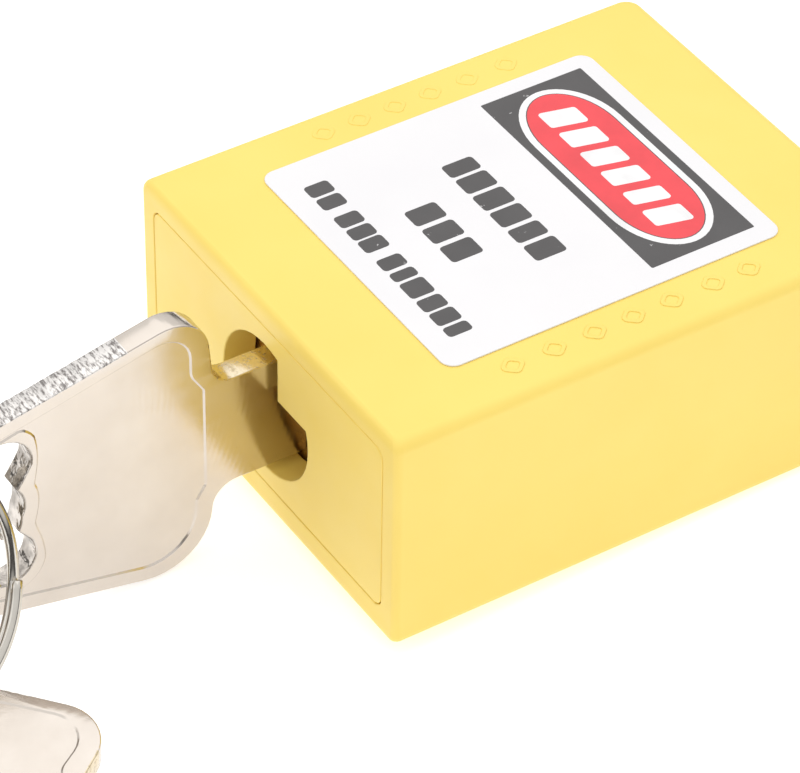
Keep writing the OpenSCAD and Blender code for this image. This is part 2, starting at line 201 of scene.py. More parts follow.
def milled_edge():
    """The key's milled top edge: bright, with dark pits."""
    m = Mat("nickel_milled_edge", (0.60, 0.57, 0.54), 0.42, 1.0)
    pits = m.span(m.noise(4600, 4, 0.7, (0.3, 1, 1)), 0.40, 0.53)
    m.link(m.mix(pits, (0.24, 0.22, 0.21), (0.79, 0.76, 0.73)), "Base Color")
    m.gloss(pits, 0, 1, 0.48, 0.30)
    fine = m.bump(m.noise(3200, 4, 0.7, (0.15, 1, 1)), 0.30, 0.00005)
    m.link(m.bump(m.noise(900, 3, 0.6, (0.15, 1, 1)), 0.25, 0.00008, fine), "Normal")
    return m


def pitted_edge_painted_reflection():
    """The plated top edge of the key's neck, with dark pits; its warm yellowish colour is a painted
    reflection of the yellow body.
    """
    m = Mat("nickel_pitted_edge_painted_reflection", (0.70, 0.62, 0.52), 0.24, 1.0)
    pits = m.span(m.noise(2600, 4, 0.6), 0.36, 0.50)
    # Both colours are warm yellow as a painted reflection of the yellow body; the dark spots are the edge's
    # own pits.
    m.link(m.mix(pits, (0.55, 0.46, 0.31), (0.70, 0.60, 0.43)), "Base Color")
    m.gloss(pits, 0, 1, 0.34, 0.18)
    m.link(m.bump(m.noise(2600, 4, 0.6), 0.22, 0.00004), "Normal")
    return m


def cast_wall():
    """The rough inner wall of the bow's hole."""
    m = Mat("nickel_cast_wall", (0.58, 0.53, 0.48), 0.16, 1.0)
    m.tint(m.noise(900, 3), 0.35, 0.65, (0.34, 0.31, 0.28), (0.66, 0.61, 0.56))
    m.link(m.bump(m.noise(1000, 2, 0.5), 0.7, 0.00025), "Normal")
    return m


def label_plastic():
    m = Mat("label_white", (0.85, 0.835, 0.84), 0.30)
    m.tint(m.noise(90, 3), 0.3, 0.7, (0.86, 0.845, 0.85), (0.83, 0.815, 0.825))
    m.link(m.bump(m.noise(500, 3), 0.06, 0.00003), "Normal")
    return m


def ink(name, color, worn, amount):
    """Printing ink with small worn specks; a higher amount leaves fewer of them."""
    m = Mat(name, color, 0.42)
    speck = m.span(m.noise(900, 3, 0.7), amount, amount + 0.03)
    tone = m.mix(m.span(m.noise(320, 3), 0.3, 0.7), color, tuple(c * 0.86 for c in color))
    m.link(m.mix(speck, tone, worn), "Base Color")
    m.link(m.bump(m.noise(700, 3), 0.05, 0.00003), "Normal")
    return m


YELLOW = nylon("yellow_nylon", (0.955, 0.725, 0.165), (0.94, 0.695, 0.15), 0.38)
GREY = nylon("grey_nylon", (0.16, 0.17, 0.18), (0.12, 0.125, 0.135), 0.5)
STEEL = metal("zinc_steel", (0.62, 0.63, 0.66), (0.48, 0.49, 0.52), 0.30, (1, 1, 6))
SPRING_STEEL = metal("spring_steel", (0.50, 0.50, 0.52), (0.36, 0.36, 0.38), 0.24)
BRASS = metal("brass", (0.72, 0.52, 0.24), (0.58, 0.40, 0.17), 0.30, (8, 1, 8), 700)
CHROME = metal("chrome_plate", (0.60, 0.61, 0.63), (0.54, 0.55, 0.575), 0.10, (1, 5, 1), 500, 0.04)
WIRE = metal("ring_wire", (0.66, 0.63, 0.58), (0.50, 0.47, 0.42), 0.10, (1, 1, 1), 700, 0.05)
NICKEL = nickel_face()
# The neck edge's pitted material is warm as a painted reflection of the yellow body.
KEY_MATS = [NICKEL, milled_edge(), cast_wall(), pitted_edge_painted_reflection()]
FACE, MILLED, CAST, PITTED_PAINTED_REFLECTION = range(4)
LABEL_WHITE = label_plastic()
INK_DARK = ink("ink_dark", (0.085, 0.08, 0.08), (0.42, 0.41, 0.41), 0.695)
INK_RED = ink("ink_red", (0.90, 0.07, 0.085), (0.95, 0.35, 0.36), 0.80)
INK_WHITE = ink("ink_white", (0.95, 0.94, 0.94), (0.82, 0.81, 0.82), 0.80)

SLOT_MATS = {"yellow_nylon": YELLOW, "label": LABEL_WHITE, "grey_nylon": GREY, "steel": STEEL,
    "spring_steel": SPRING_STEEL, "brass": BRASS, "chrome_steel": CHROME, "nickel": NICKEL}


def finish_cad_nodes():
    for part in frame["record"]["subparts"]:
        for slot in frame["nodes"][part["node"]].material_slots:
            slot.material = SLOT_MATS[part["material_slot"]].mat


# ---------------------------------------------------------------- mesh building
SLIVER = 1e-6  # twice the area, in square millimetres, under which a triangle is no part of a face


class Builder:
    """Collects vertices and faces of closed surfaces, each face with a material number."""

    def __init__(self):
        self.verts, self.faces, self.mats = [], [], []

    def ring(self, points):
        first = len(self.verts)
        self.verts.extend(tuple(float(c) for c in p) for p in points)
        return list(range(first, len(self.verts)))

    def face(self, idx, mat=0):
        self.faces.append(tuple(idx))
        self.mats.append(mat)

    def bridge(self, a, b, mat=0, flip=False):
        """Joins two loops; mat is one number, or one for each step round them."""
        n = len(a)
        for i in range(n):
            j = (i + 1) % n
            quad = (a[i], a[j], b[j], b[i])
            self.face(reversed(quad) if flip else quad, mat if isinstance(mat, int) else mat[i])

    def skin(self, loops):
        """A closed surface over a row of loops of points, with a flat face at each end."""
        idx = [self.ring(loop) for loop in loops]
        for a, b in zip(idx, idx[1:]):
            self.bridge(a, b)
        self.face(reversed(idx[0]))
        self.face(idx[-1])
        return self

    def fill(self, outer, holes, flat, flip=False):
        """Fills between loops of existing vertices; flat gives each one's place in the plane."""
        loops = [outer] + list(holes)
        index = [i for loop in loops for i in loop]
        pts = [Vector(flat[i]) for i in index]
        edges, start = [], 0
        for loop in loops:
            n = len(loop)
            edges += [(start + k, start + (k + 1) % n) for k in range(n)]
            start += n
        out = delaunay_2d_cdt(pts, edges, [], 0, 1e-9)
        back = {new: index[olds[0]] for new, olds in enumerate(out[3]) if olds}
        fixed = {frozenset(e) for e, olds in zip(out[1], out[4]) if olds}
        polys = [np.array([flat[i] for i in loop]) for loop in loops]
        for group in regions(out[2], fixed):
            biggest = max(group, key=lambda tri: abs(turn(out[0], tri)))
            middle = sum((out[0][v] for v in biggest), Vector((0, 0))) / 3
            if abs(turn(out[0], biggest)) < SLIVER:
                continue
            if not inside(polys[0], middle) or any(inside(p, middle) for p in polys[1:]):
                continue
            for tri in group:
                idx = [back[v] for v in tri]
                self.face(idx[::-1] if flip else idx)

    def make(self, name, mats, body, replaces=(), move=None, sharp=32, weighted=True):
        """Makes the piece; edges sharper than this angle stay hard."""
        m = row_matrix(move)
        mesh = bpy.data.meshes.new(name)
        mesh.from_pydata([m @ Vector(v) for v in self.verts], [], self.faces)
        for finish in mats:
            mesh.materials.append(finish.mat)
        for poly, k in zip(mesh.polygons, self.mats):
            poly.material_index = k
            poly.use_smooth = True
        mesh.validate()
        mesh.set_sharp_from_angle(angle=math.radians(sharp))
        obj = bpy.data.objects.new(name, mesh)
        bpy.context.scene.collection.objects.link(obj)
        if weighted:
            mod = obj.modifiers.new("flat_faces", "WEIGHTED_NORMAL")
            mod.keep_sharp = True
        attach(obj, body)
        if replaces:
            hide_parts(*replaces)
        return obj


def turn(pts, tri):
    """Twice a triangle's area, negative where it runs clockwise."""
    a, b, c = (pts[v] for v in tri)
    return (b - a).x * (c - a).y - (b - a).y * (c - a).x


def regions(tris, fixed):
    """Groups triangles that share an edge which isn't part of an outline."""
    owner, group = {}, list(range(len(tris)))

    def root(i):
        while group[i] != i:
            i = group[i]
        return i

    for i, tri in enumerate(tris):
        for e in (frozenset((tri[k], tri[(k + 1) % 3])) for k in range(3)):
            if e in owner and e not in fixed:
                group[root(i)] = root(owner[e])
            owner[e] = i
    out = {}
    for i, tri in enumerate(tris):
        out.setdefault(root(i), []).append(tri)
    return out.values()


def inside(poly, p):
    x, y = p[0], p[1]
    a, b = poly, np.roll(poly, -1, axis=0)
    hit = (a[:, 1] > y) != (b[:, 1] > y)
    with np.errstate(divide="ignore", invalid="ignore"):
        at = (b[:, 0] - a[:, 0]) * (y - a[:, 1]) / (b[:, 1] - a[:, 1]) + a[:, 0]
    return bool(np.count_nonzero(hit & (x < at)) % 2)


def circle(r, n, sign=1):
    """(cosine, sine) times r, for n places round a circle."""
    return [(r * math.cos(a), r * math.sin(a)) for a in (sign * 2 * math.pi * k / n for k in range(n))]


def arc(c, r, a0, a1, n):
    angles = [math.radians(a0 + (a1 - a0) * i / n) for i in range(n + 1)]
    return [(c[0] + r * math.cos(a), c[1] + r * math.sin(a)) for a in angles]


def rounded(corners, n):
    """Outline from corners (x, y, radius), where radius 0 stays sharp."""
    out, count = [], len(corners)
    for i, (px, py, r) in enumerate(corners):
        if r <= 0:
            out.append((px, py))
            continue
        a, p, b = (Vector(corners[k % count][:2]) for k in (i - 1, i, i + 1))
        u, v = (a - p).normalized(), (b - p).normalized()
        half = math.acos(max(-1, min(1, u.dot(v)))) / 2
        m = (u + v).normalized()
        c = p + m * (r / math.sin(half))
        side = 1 if u.x * v.y - u.y * v.x > 0 else -1
        mid, swing = math.degrees(math.atan2(-m.y, -m.x)), 90 - math.degrees(half)
        out += arc(c, r, mid + side * swing, mid - side * swing, n)
    return ccw(out)


def diamond(x, y, half_x, half_y, r, n=5):
    return rounded([(x - half_x, y, r), (x, y - half_y, r), (x + half_x, y, r), (x, y + half_y, r)], n)


def rect(x0, x1, y0, y1, r, n=8):
    return rounded([(x0, y0, r), (x1, y0, r), (x1, y1, r), (x0, y1, r)], n)


def ccw(pts):
    area = sum(a[0] * b[1] - b[0] * a[1] for a, b in zip(pts, pts[1:] + pts[:1]))
    return pts if area > 0 else pts[::-1]


def inset(loop, d):
    """Moves an anticlockwise loop inwards by d along each vertex's own normal."""
    p = np.array(loop, float)
    e0 = p - np.roll(p, 1, axis=0)
    e1 = np.roll(p, -1, axis=0) - p
    e0 /= np.linalg.norm(e0, axis=1)[:, None] + 1e-12
    e1 /= np.linalg.norm(e1, axis=1)[:, None] + 1e-12
    n0, n1 = np.stack([-e0[:, 1], e0[:, 0]], 1), np.stack([-e1[:, 1], e1[:, 0]], 1)
    m = n0 + n1
    m /= np.linalg.norm(m, axis=1)[:, None] + 1e-12
    cosine = np.clip((m * n0).sum(1), 0.5, 1)
    return [tuple(q) for q in p + m * (d / cosine)[:, None]]


def resample(loop, step):
    """Splits long edges, so a surface has enough points for small dents."""
    out = []
    for a, b in zip(loop, loop[1:] + loop[:1]):
        n = max(1, round(math.dist(a, b) / step))
        out += [(a[0] + (b[0] - a[0]) * k / n, a[1] + (b[1] - a[1]) * k / n) for k in range(n)]
    return out


def round_edge(b, steps=3):
    """(inset, depth) pairs from a face down to a side wall, for an edge rounded by b."""
    return [(b * (1 - math.sin(t)), b * (1 - math.cos(t)))
        for t in (math.pi / 2 * k / steps for k in range(steps + 1))]


def plate(b, outer, holes, low, high, place3, edge, hole_edge=None, dips=(), side_mat=0, hole_mat=0,
        dents=None, steps=3):
    """Adds a closed plate between two levels, with rounded edges, holes, and dips in its faces.

    place3 turns a place in the plane and a level into a point. dips holds (loop, depth, wall, island)
    for each dip: inside the loop the face is lower, apart from an island round the holes if one is given.
    """
    hole_edge = edge if hole_edge is None else hole_edge
    flat = {}

    def add(loop, level):
        idx = b.ring([place3(u, v, level) for u, v in loop])
        flat.update(zip(idx, loop))
        return idx

    def cap(rim, hole_rims, level, sign):
        upper = sign < 0
        openings, holes_are_free = [], True
        for loop, depth, wall, island in dips:
            top = add(loop, level)
            bottom = add(inset(loop, wall), level + sign * depth)
            b.bridge(top, bottom, flip=not upper)
            inner = []
            if island is not None:
                island_top = add(island, level)
                island_foot = add(inset(island, -wall), level + sign * depth)
                b.bridge(island_top, island_foot, flip=upper)
                b.fill(island_top, hole_rims, flat, flip=not upper)
                inner = [island_foot]
                holes_are_free = False
            b.fill(bottom, inner, flat, flip=not upper)
            openings.append(top)
        b.fill(rim, openings + (hole_rims if holes_are_free else []), flat, flip=not upper)

    walls = []
    for level, sign in ((low, 1), (high, -1)):
        outs, ins = [], []
        for i, d in round_edge(edge, steps):
            loop = inset(outer, i)
            if dents is not None and i < edge * 0.6:
                loop = [(p[0] + q[0], p[1] + q[1]) for p, q in zip(loop, dents)]
            outs.append(add(loop, level + sign * d))
        for h in holes:
            ins.append([add(inset(h, -i), level + sign * d) for i, d in round_edge(hole_edge, steps)])
        for a, c in zip(outs, outs[1:]):
            b.bridge(a, c, side_mat, flip=sign < 0)
        for loops in ins:
            for a, c in zip(loops, loops[1:]):
                b.bridge(a, c, hole_mat, flip=sign > 0)
        cap(outs[0], [loops[0] for loops in ins], level, sign)
        walls.append((outs[-1], [loops[-1] for loops in ins]))
    (low_outer, low_holes), (high_outer, high_holes) = walls
    b.bridge(low_outer, high_outer, side_mat)
    for a, c in zip(low_holes, high_holes):
        b.bridge(a, c, hole_mat, flip=True)


DOME_OUT, DOME_SIZE = 0.18, 0.8  # a cut end's small dome, in wire radii


def tube(b, path, r, sides):
    """A round wire along a path, with slightly domed cut ends."""
    pts = [Vector(p) for p in path]
    last = len(pts) - 1
    rings, normal = [], None
    for i, p in enumerate(pts):
        t = (pts[min(i + 1, last)] - pts[max(i - 1, 0)]).normalized()
        if normal is None:
            normal = t.orthogonal().normalized()
        normal = (normal - t * normal.dot(t)).normalized()
        other = t.cross(normal)
        full = [p + u * normal + v * other for u, v in circle(r, sides)]
        end = -t if i == 0 else t
        dome = [p + end * r * DOME_OUT + u * normal + v * other for u, v in circle(r * DOME_SIZE, sides)]
        rings += [dome, full] if i == 0 else [full, dome] if i == last else [full]
    b.skin(rings)


# ---------------------------------------------------------------- body shell
FACE_ROUND, NEAR_CORNER, FAR_CORNER = 1.0, 0.65, 1.5
CAVITY_X, CAVITY_Z0, CAVITY_Z1, CAVITY_CORNER, FAR_WALL = 17.0, 2.7, 18.9, 1.0, 2.5
# The cavity from outside the mouth inwards, as (s, extra on each side), and a leg's hole from the
# cavity outwards, as (depth under the far face, radius).
MOUTH = ((-1.0, 0.12), (0.0, 0.12), (0.04, 0.06), (0.1, 0.02), (0.2, 0.0), (BODY_L - FAR_WALL, 0.0))
LEG_HOLE = ((4, 3.1), (0.5, 3.1), (0.2, 3.2), (0, 3.5), (-1, 3.5))


def shell_outside():
    """The outside of the moulding: the ends are rounded less than the long sides."""
    levels = round_edge(FACE_ROUND, 5)
    loops = []
    for q, z in levels + [(q, BODY_T - h) for q, h in reversed(levels)]:
        x, s0, s1 = BODY_W / 2 - q, 0.6 * q, BODY_L - 0.9 * q
        near, far = NEAR_CORNER, FAR_CORNER - 0.6 * q
        loop = rounded([(-x, s0, near), (x, s0, near), (x, s1, far), (-x, s1, far)], 10)
        loops.append([(px, ps, z) for px, ps in loop])
    return Builder().skin(loops)


def cavity():
    """The space inside, from beyond the open mouth to the far wall, with a small flare at the mouth."""
    loops = []
    for s, grow in MOUTH:
        x, z0, z1 = CAVITY_X + grow, CAVITY_Z0 - grow, CAVITY_Z1 + grow
        loops.append([(px, s, pz) for px, pz in rect(-x, x, z0, z1, CAVITY_CORNER + grow)[::-1]])
    return Builder().skin(loops)


def leg_hole(x):
    """A shackle leg's hole, from inside the cavity out through the far face."""
    loops = []
    for depth, r in LEG_HOLE:
        loops.append([(x + u, BODY_L - depth, AXIS_Z + v) for u, v in circle(r, 48, -1)])
    return Builder().skin(loops)


def raw_object(b, name):
    mesh = bpy.data.meshes.new(name)
    mesh.from_pydata(b.verts, [], b.faces)
    mesh.validate()
    obj = bpy.data.objects.new(name, mesh)
    bpy.context.scene.collection.objects.link(obj)
    return obj


def build_shell():
    outer = raw_object(shell_outside(), "shell_raw")
    cuts = [raw_object(b, "cut_%d" % k) for k, b in enumerate((cavity(), leg_hole(-LEG_X), leg_hole(LEG_X)))]
    for cut in cuts:
        mod = outer.modifiers.new(cut.name, "BOOLEAN")
        mod.object, mod.operation, mod.solver = cut, "DIFFERENCE", "EXACT"
    bpy.context.view_layer.update()
    bm = bmesh.new()
    bm.from_object(outer, bpy.context.evaluated_depsgraph_get())
    bmesh.ops.dissolve_degenerate(bm, dist=1e-4, edges=bm.edges)
    b = Builder()
    b.ring([v.co for v in bm.verts])
    bm.verts.index_update()
    for f in bm.faces:
        b.face([v.index for v in f.verts])
    bm.free()
    for obj in [outer] + cuts:
        mesh = obj.data
        bpy.data.objects.remove(obj)
        bpy.data.meshes.remove(mesh)
    b.make("shell_moulding", [YELLOW], "body", ["body_shell"], sharp=40)


# ---------------------------------------------------------------- keyhole cover
COVER_T, COVER_GAP, COVER_TOUCH = 3.0, 0.10, 0.015
COVER_EDGE, KEYHOLE_EDGE = 0.09, 0.14
KEYHOLE_R, QUARTER_OFF = 6.3, 1.85


def keyhole_outline():
    """A round hole with its upper right and lower left quarters filled, up to QUARTER_OFF from the middle."""
    r, q, n = KEYHOLE_R, QUARTER_OFF, 14
    a = math.degrees(math.asin(q / r))
    top = arc((0, 0), r, 90 - a, 180 + a, n)
    low = arc((0, 0), r, 270 - a, 360 + a, n)
    return ccw([(x, z + AXIS_Z) for x, z in [(q, q)] + top + [(-q, -q)] + low])


def build_cover():
    """The cover sits tight at its right and top edges, and leaves a fine groove at the others."""
    b = Builder()
    outer = rect(-CAVITY_X + COVER_GAP, CAVITY_X - COVER_TOUCH, CAVITY_Z0 + COVER_GAP,
        CAVITY_Z1 - COVER_TOUCH, CAVITY_CORNER)
    plate(b, outer, [keyhole_outline()], -COVER_T, 0.0, lambda x, z, w: (x, -w, z), COVER_EDGE, KEYHOLE_EDGE)
    b.make("cover_moulding", [YELLOW], "body", ["keyhole_cover"])


# ---------------------------------------------------------------- label and raised marks
SHEET_T, SHEET_EDGE = 0.15, 0.05
PRINT_FOOT, PRINT_EDGE = 0.01, 0.004
BLOCK_GAP, SLANTED_R, BLOCK_R = 0.2, 0.3, 0.35

# Rectangles: x0, x1, s0, s1, corner, points in each corner.
LABEL_RECT = (-14.0, 13.6, 8.0, 39.4, 1.2, 8)
PANEL_RECT = (-12.4, 11.85, 28.0, 37.8, 0.12, 3)
# Layers of the oval field: x0, x1, s0, s1, reach of each end's curve.
PILL_EDGE = (-11.5, 10.9, 28.75, 37.0, 6.0)
PILL_LINE = (-10.93, 10.28, 29.32, 36.43, 5.55)
PILL_FIELD = (-10.85, 10.2, 29.4, 36.35, 5.5)
# Printed rows of plain blocks: from s, to s, and each block's span in x.
HEAD_ROW = (31.25, 34.45, ((-8.9, -6.3), (-5.9, -3.3), (-2.9, -0.4), (0.0, 2.5), (3.1, 5.3), (5.8, 8.4)))
TEXT_ROWS = (
    (20.85, 23.75, ((-7.35, -5.65), (-5.3, -3.25), (-2.85, -0.75), (-0.4, 1.7), (2.15, 3.95), (4.4, 6.5))),
    (15.2, 18.1, ((-4.0, -1.95), (-1.45, 0.6), (1.1, 3.25))),
    (10.1, 12.3, ((-10.8, -9.25), (-8.95, -7.4), (-6.35, -4.8), (-4.5, -3.0), (-2.8, -1.2), (-0.1, 1.4),
        (1.8, 2.95), (3.25, 5.3), (5.65, 7.2), (7.45, 9.1), (9.4, 10.6))))


def on_top(z0):
    return lambda x, s, w: (x, s, z0 + w)


def slanted(x0, x1, s0, s1):
    """A block that leans to the right by a quarter of its height."""
    lean = (s1 - s0) / 8
    corners = ((x0 - lean + BLOCK_GAP, s0), (x1 - lean - BLOCK_GAP, s0), (x1 + lean - BLOCK_GAP, s1),
        (x0 + lean + BLOCK_GAP, s1))
    return rounded([(x, s, SLANTED_R) for x, s in corners], 4)


def pill(x0, x1, s0, s1, end):
    """A long rounded outline; end is how far each end's curve reaches along x."""
    mid, half = (s0 + s1) / 2, (s1 - s0) / 2
    angles = [math.pi * (k / 24 - 0.5) for k in range(25)]
    right = [(x1 - end + end * math.cos(t), mid + half * math.sin(t)) for t in angles]
    return right + [(x0 + end - end * math.cos(t), mid - half * math.sin(t)) for t in angles]


def printed(name, loops, mat, lift):
    """Thin printed shapes that stand lift above the label."""
    b = Builder()
    for loop in loops:
        plate(b, ccw(loop), [], -PRINT_FOOT, lift, on_top(BODY_T + SHEET_T), PRINT_EDGE, steps=1)
    b.make(name, [mat], "body", weighted=False)


def build_label():
    b = Builder()
    plate(b, rect(*LABEL_RECT), [], 0.0, SHEET_T, on_top(BODY_T), SHEET_EDGE)
    b.make("label_sheet", [LABEL_WHITE], "body", ["label"])
    s0, s1, spans = HEAD_ROW
    head = [slanted(x0, x1, s0, s1) for x0, x1 in spans]
    lines = [rect(x0, x1, low, high, BLOCK_R, 4) for low, high, places in TEXT_ROWS for x0, x1 in places]
    printed("label_panel", [rect(*PANEL_RECT)], INK_DARK, 0.012)
    printed("label_pill_edge", [pill(*PILL_EDGE)], INK_WHITE, 0.020)
    printed("label_pill_line", [pill(*PILL_LINE)], INK_DARK, 0.024)
    printed("label_pill", [pill(*PILL_FIELD)], INK_RED, 0.028)
    printed("label_head_blocks", head, INK_WHITE, 0.036)
    printed("label_line_blocks", lines, INK_DARK, 0.012)


# Raised lozenges: x, height above the face, and each one's s. Their outside and their hole are half
# the width, half the length, and the corners' radius.
MARKS = ((15.65, 0.085, (34.5, 31.1, 27.2, 23.6, 20.0, 16.3, 12.5)),
    (-16.2, 0.05, (33.0, 29.2, 25.6, 22.2, 18.8, 15.4)))
MARK_OUTER, MARK_HOLE = (1.1, 1.25, 0.5), (0.62, 0.72, 0.25)
MARK_FOOT, MARK_ROUND = 0.05, 0.9


def build_marks():
    """Plain raised lozenges along both margins, in place of moulded lettering."""
    b = Builder()
    for x, lift, places in MARKS:
        for s in places:
            outer, hole = diamond(x, s, *MARK_OUTER), diamond(x, s, *MARK_HOLE)
            edge = lift * MARK_ROUND
            plate(b, outer, [hole], -MARK_FOOT, lift, on_top(BODY_T), edge, edge)
    b.make("margin_marks", [YELLOW], "body")


# ---------------------------------------------------------------- keys
# A key's own plane is s along it, from the keyhole face, and h across it, from the axis of the plug.
# Corner lists hold (s, h, radius), and the hole's lobes (s, h, radius) from the hole's middle.
KEY_T, KEY_EDGE = 2.1, 0.16
NECK, BLADE_TOP, SHOULDER, BOW_L, BOW_HALF, TAPER = 5.3, 4.0, -5.8, 26.4, 13.4, 0.21
KEY_STOP, BLADE_END, BLADE_LOW = 3.2, 23.0, -4
CUTS = (0.9, 2.1, 1.5, 2.7, 1.2)
CUT_HALF = 0.55
HOLE_AT, HOLE_POINTS = -25.9, 144
HOLE_HALF_S, HOLE_HALF_H = 3.35, 5.0
HOLE_LOBES = ((0, 0, 3.7), (2.3, 5.2, 2.5), (1.6, 1, 2.4), (2.3, -4.1, 2.45), (-1.2, 4.4, 2.4),
    (-1.2, -4.4, 2.4))
FIELD = ((-31.0, -6.6, 3.6), (-31.0, 6.6, 3.6), (-7.05, 12.1, 2.6), (-7.05, 7.0, 1.6), (-5.95, 5.2, 0.6),
    (-5.95, -4.6, 0.5), (-6.85, -6.0, 0.6), (-6.75, -11.9, 4.2))
FIELD_DEPTH, FIELD_WALL = 0.12, 0.16
GROOVE = ((5.5, -1.9, 0.4), (22.6, -1.9, 0.4), (22.4, -0.6, 0.4), (5.5, -0.6, 0.4))
GROOVE_DEPTH, GROOVE_WALL = 0.45, 0.2
RIM_LEAST, RIM_WIDE, RIM_CLEAR = 0.22, 1.25, 0.5
MILLED_ABOVE, MILLED_FROM, MILLED_TO = 5.8, -31, -12.5
# Past PITTED_FROM and above PITTED_ABOVE, the neck's top edge takes the pitted material, whose warm colour is
# a painted reflection of the yellow body.
PITTED_ABOVE, PITTED_FROM = 4.9, -5.5
OUTLINE_STEP, DENT_DEPTH, DENT_END, DENT_FADE = 0.24, 0.14, -11.5, 6
SPARE_AT = (28.57, -31.36, 1.0)
SPARE_YAW, SPARE_PITCH, SPARE_ROLL = 31.2, 3.6, 3.1


def blade_top(s):
    """Height of the bitted edge at s."""
    cuts = (BLADE_TOP - depth + max(0.0, abs(s - (PIN_FIRST + PIN_PITCH * i)) - CUT_HALF)
        for i, depth in enumerate(CUTS))
    return min(BLADE_TOP, *cuts)


def key_outline():
    end_s, end = SHOULDER - BOW_L, BOW_HALF - TAPER * BOW_L
    blade = [(s, blade_top(s), 0) for s in np.arange(3.6, BLADE_END + 0.01, 0.2)]
    return rounded(blade + [(24.2, -1, 0.8), (21.7, BLADE_LOW, 0.3), (KEY_STOP, BLADE_LOW, 0.2),
        (KEY_STOP, -NECK, 0.3), (SHOULDER + 0.5, -NECK, 2.2), (SHOULDER, -BOW_HALF, 5.2), (end_s, -end, 5),
        (end_s, end, 5), (SHOULDER, BOW_HALF, 3.6), (SHOULDER + 0.7, NECK, 1.8), (KEY_STOP, NECK, 0.3),
        (KEY_STOP, BLADE_TOP, 0.2)], 10)


def hole_radius(t):
    """How far the bow's scalloped hole reaches from its middle, in direction t."""
    c, s = math.cos(t), math.sin(t)
    reach = min(HOLE_HALF_S / max(abs(c), 1e-9), HOLE_HALF_H / max(abs(s), 1e-9))
    for x, y, r in HOLE_LOBES:
        along, off = x * c + y * s, abs(x * s - y * c)
        if off < r:
            reach = max(reach, along + math.sqrt(r * r - off * off))
    return reach


def smooth(radii, reach):
    n = len(radii)
    return np.array([np.mean([radii[(k + d) % n] for d in range(-reach, reach + 1)]) for k in range(n)])


def polar(radii):
    """A loop round the hole's middle."""
    n = len(radii)
    return [(HOLE_AT + r * math.cos(2 * math.pi * k / n), r * math.sin(2 * math.pi * k / n))
        for k, r in enumerate(radii)]


def ray_reach(loop, n):
    """Distance from the hole's middle to a loop, in n directions."""
    out = []
    for k in range(n):
        d = Vector((math.cos(2 * math.pi * k / n), math.sin(2 * math.pi * k / n)))
        best = 1e9
        for p, q in zip(loop, loop[1:] + loop[:1]):
            a, e = Vector((p[0] - HOLE_AT, p[1])), Vector((q[0] - p[0], q[1] - p[1]))
            det = d.x * -e.y + d.y * e.x
            if abs(det) < 1e-12:
                continue
            t, f = (a.x * -e.y + a.y * e.x) / det, (d.x * a.y - d.y * a.x) / det
            if t > 0 and -1e-9 <= f <= 1 + 1e-9:
                best = min(best, t)
        out.append(best)
    return np.array(out)


def edge_finish(outer, rng):
    """Small dents along the bow's milled top edge, and the material of each step of the outline."""
    dents, mats = [], []
    for s, h in outer:
        milled = h > MILLED_ABOVE and MILLED_FROM < s < MILLED_TO
        # The neck's top edge: pitted, and warm as a painted reflection of the yellow body.
        pits_and_painted_reflection = h > PITTED_ABOVE and s > PITTED_FROM
        depth = DENT_DEPTH * min(1.0, (DENT_END - s) / DENT_FADE) if milled else 0.0
        dents.append((0.0, -depth * rng.random() ** 1.5))
        mats.append(MILLED if milled else PITTED_PAINTED_REFLECTION if pits_and_painted_reflection else FACE)
    return dents, mats


def key_piece(name, body, node, seed, place3, move=None):
    radii = np.array([hole_radius(2 * math.pi * k / HOLE_POINTS) for k in range(HOLE_POINTS)])
    soft = smooth(radii, 1)
    outer = resample(key_outline(), OUTLINE_STEP)
    dents, mats = edge_finish(outer, random.Random(seed))
    field = rounded(list(FIELD), 8)
    rim = np.maximum(soft + RIM_LEAST,
        np.minimum(smooth(radii, 5) + RIM_WIDE, ray_reach(field, HOLE_POINTS) - RIM_CLEAR))
    dips = ((field, FIELD_DEPTH, FIELD_WALL, polar(rim)),
        (rounded(list(GROOVE), 4), GROOVE_DEPTH, GROOVE_WALL, None))
    b = Builder()
    plate(b, outer, [polar(soft)], -KEY_T / 2, KEY_T / 2, place3, KEY_EDGE, dips=dips, side_mat=mats,
        hole_mat=CAST, dents=dents)
    b.make(name, KEY_MATS, body, [node], move)


def build_keys():
    key_piece("service_key_body", "plug", "service_key", 3, lambda s, h, w: (w, s, h + AXIS_Z))
    lie = (Matrix.Rotation(math.radians(SPARE_YAW - 90), 4, "Z")
        @ Matrix.Rotation(math.radians(-SPARE_PITCH), 4, "X")
        @ Matrix.Rotation(math.radians(SPARE_ROLL - 90), 4, "Y"))
    key_piece("spare_key_body", "spare", "spare_key", 8, lambda s, h, w: (w, s, h),
        Matrix.Translation(SPARE_AT) @ lie)


# ---------------------------------------------------------------- split ring
RING_AT = (0.94, -35.43, 9.55)
RING_TILT, RING_R, WIRE_R = 34.0, 11.9, 0.475
RING_START, RING_FIRST, RING_SWEEP, RING_STEP = 350.0, 8, 704.0, 3.0
CROSS_FROM, CROSS_LENGTH = 342, 36
TURN_OFF = 1.02


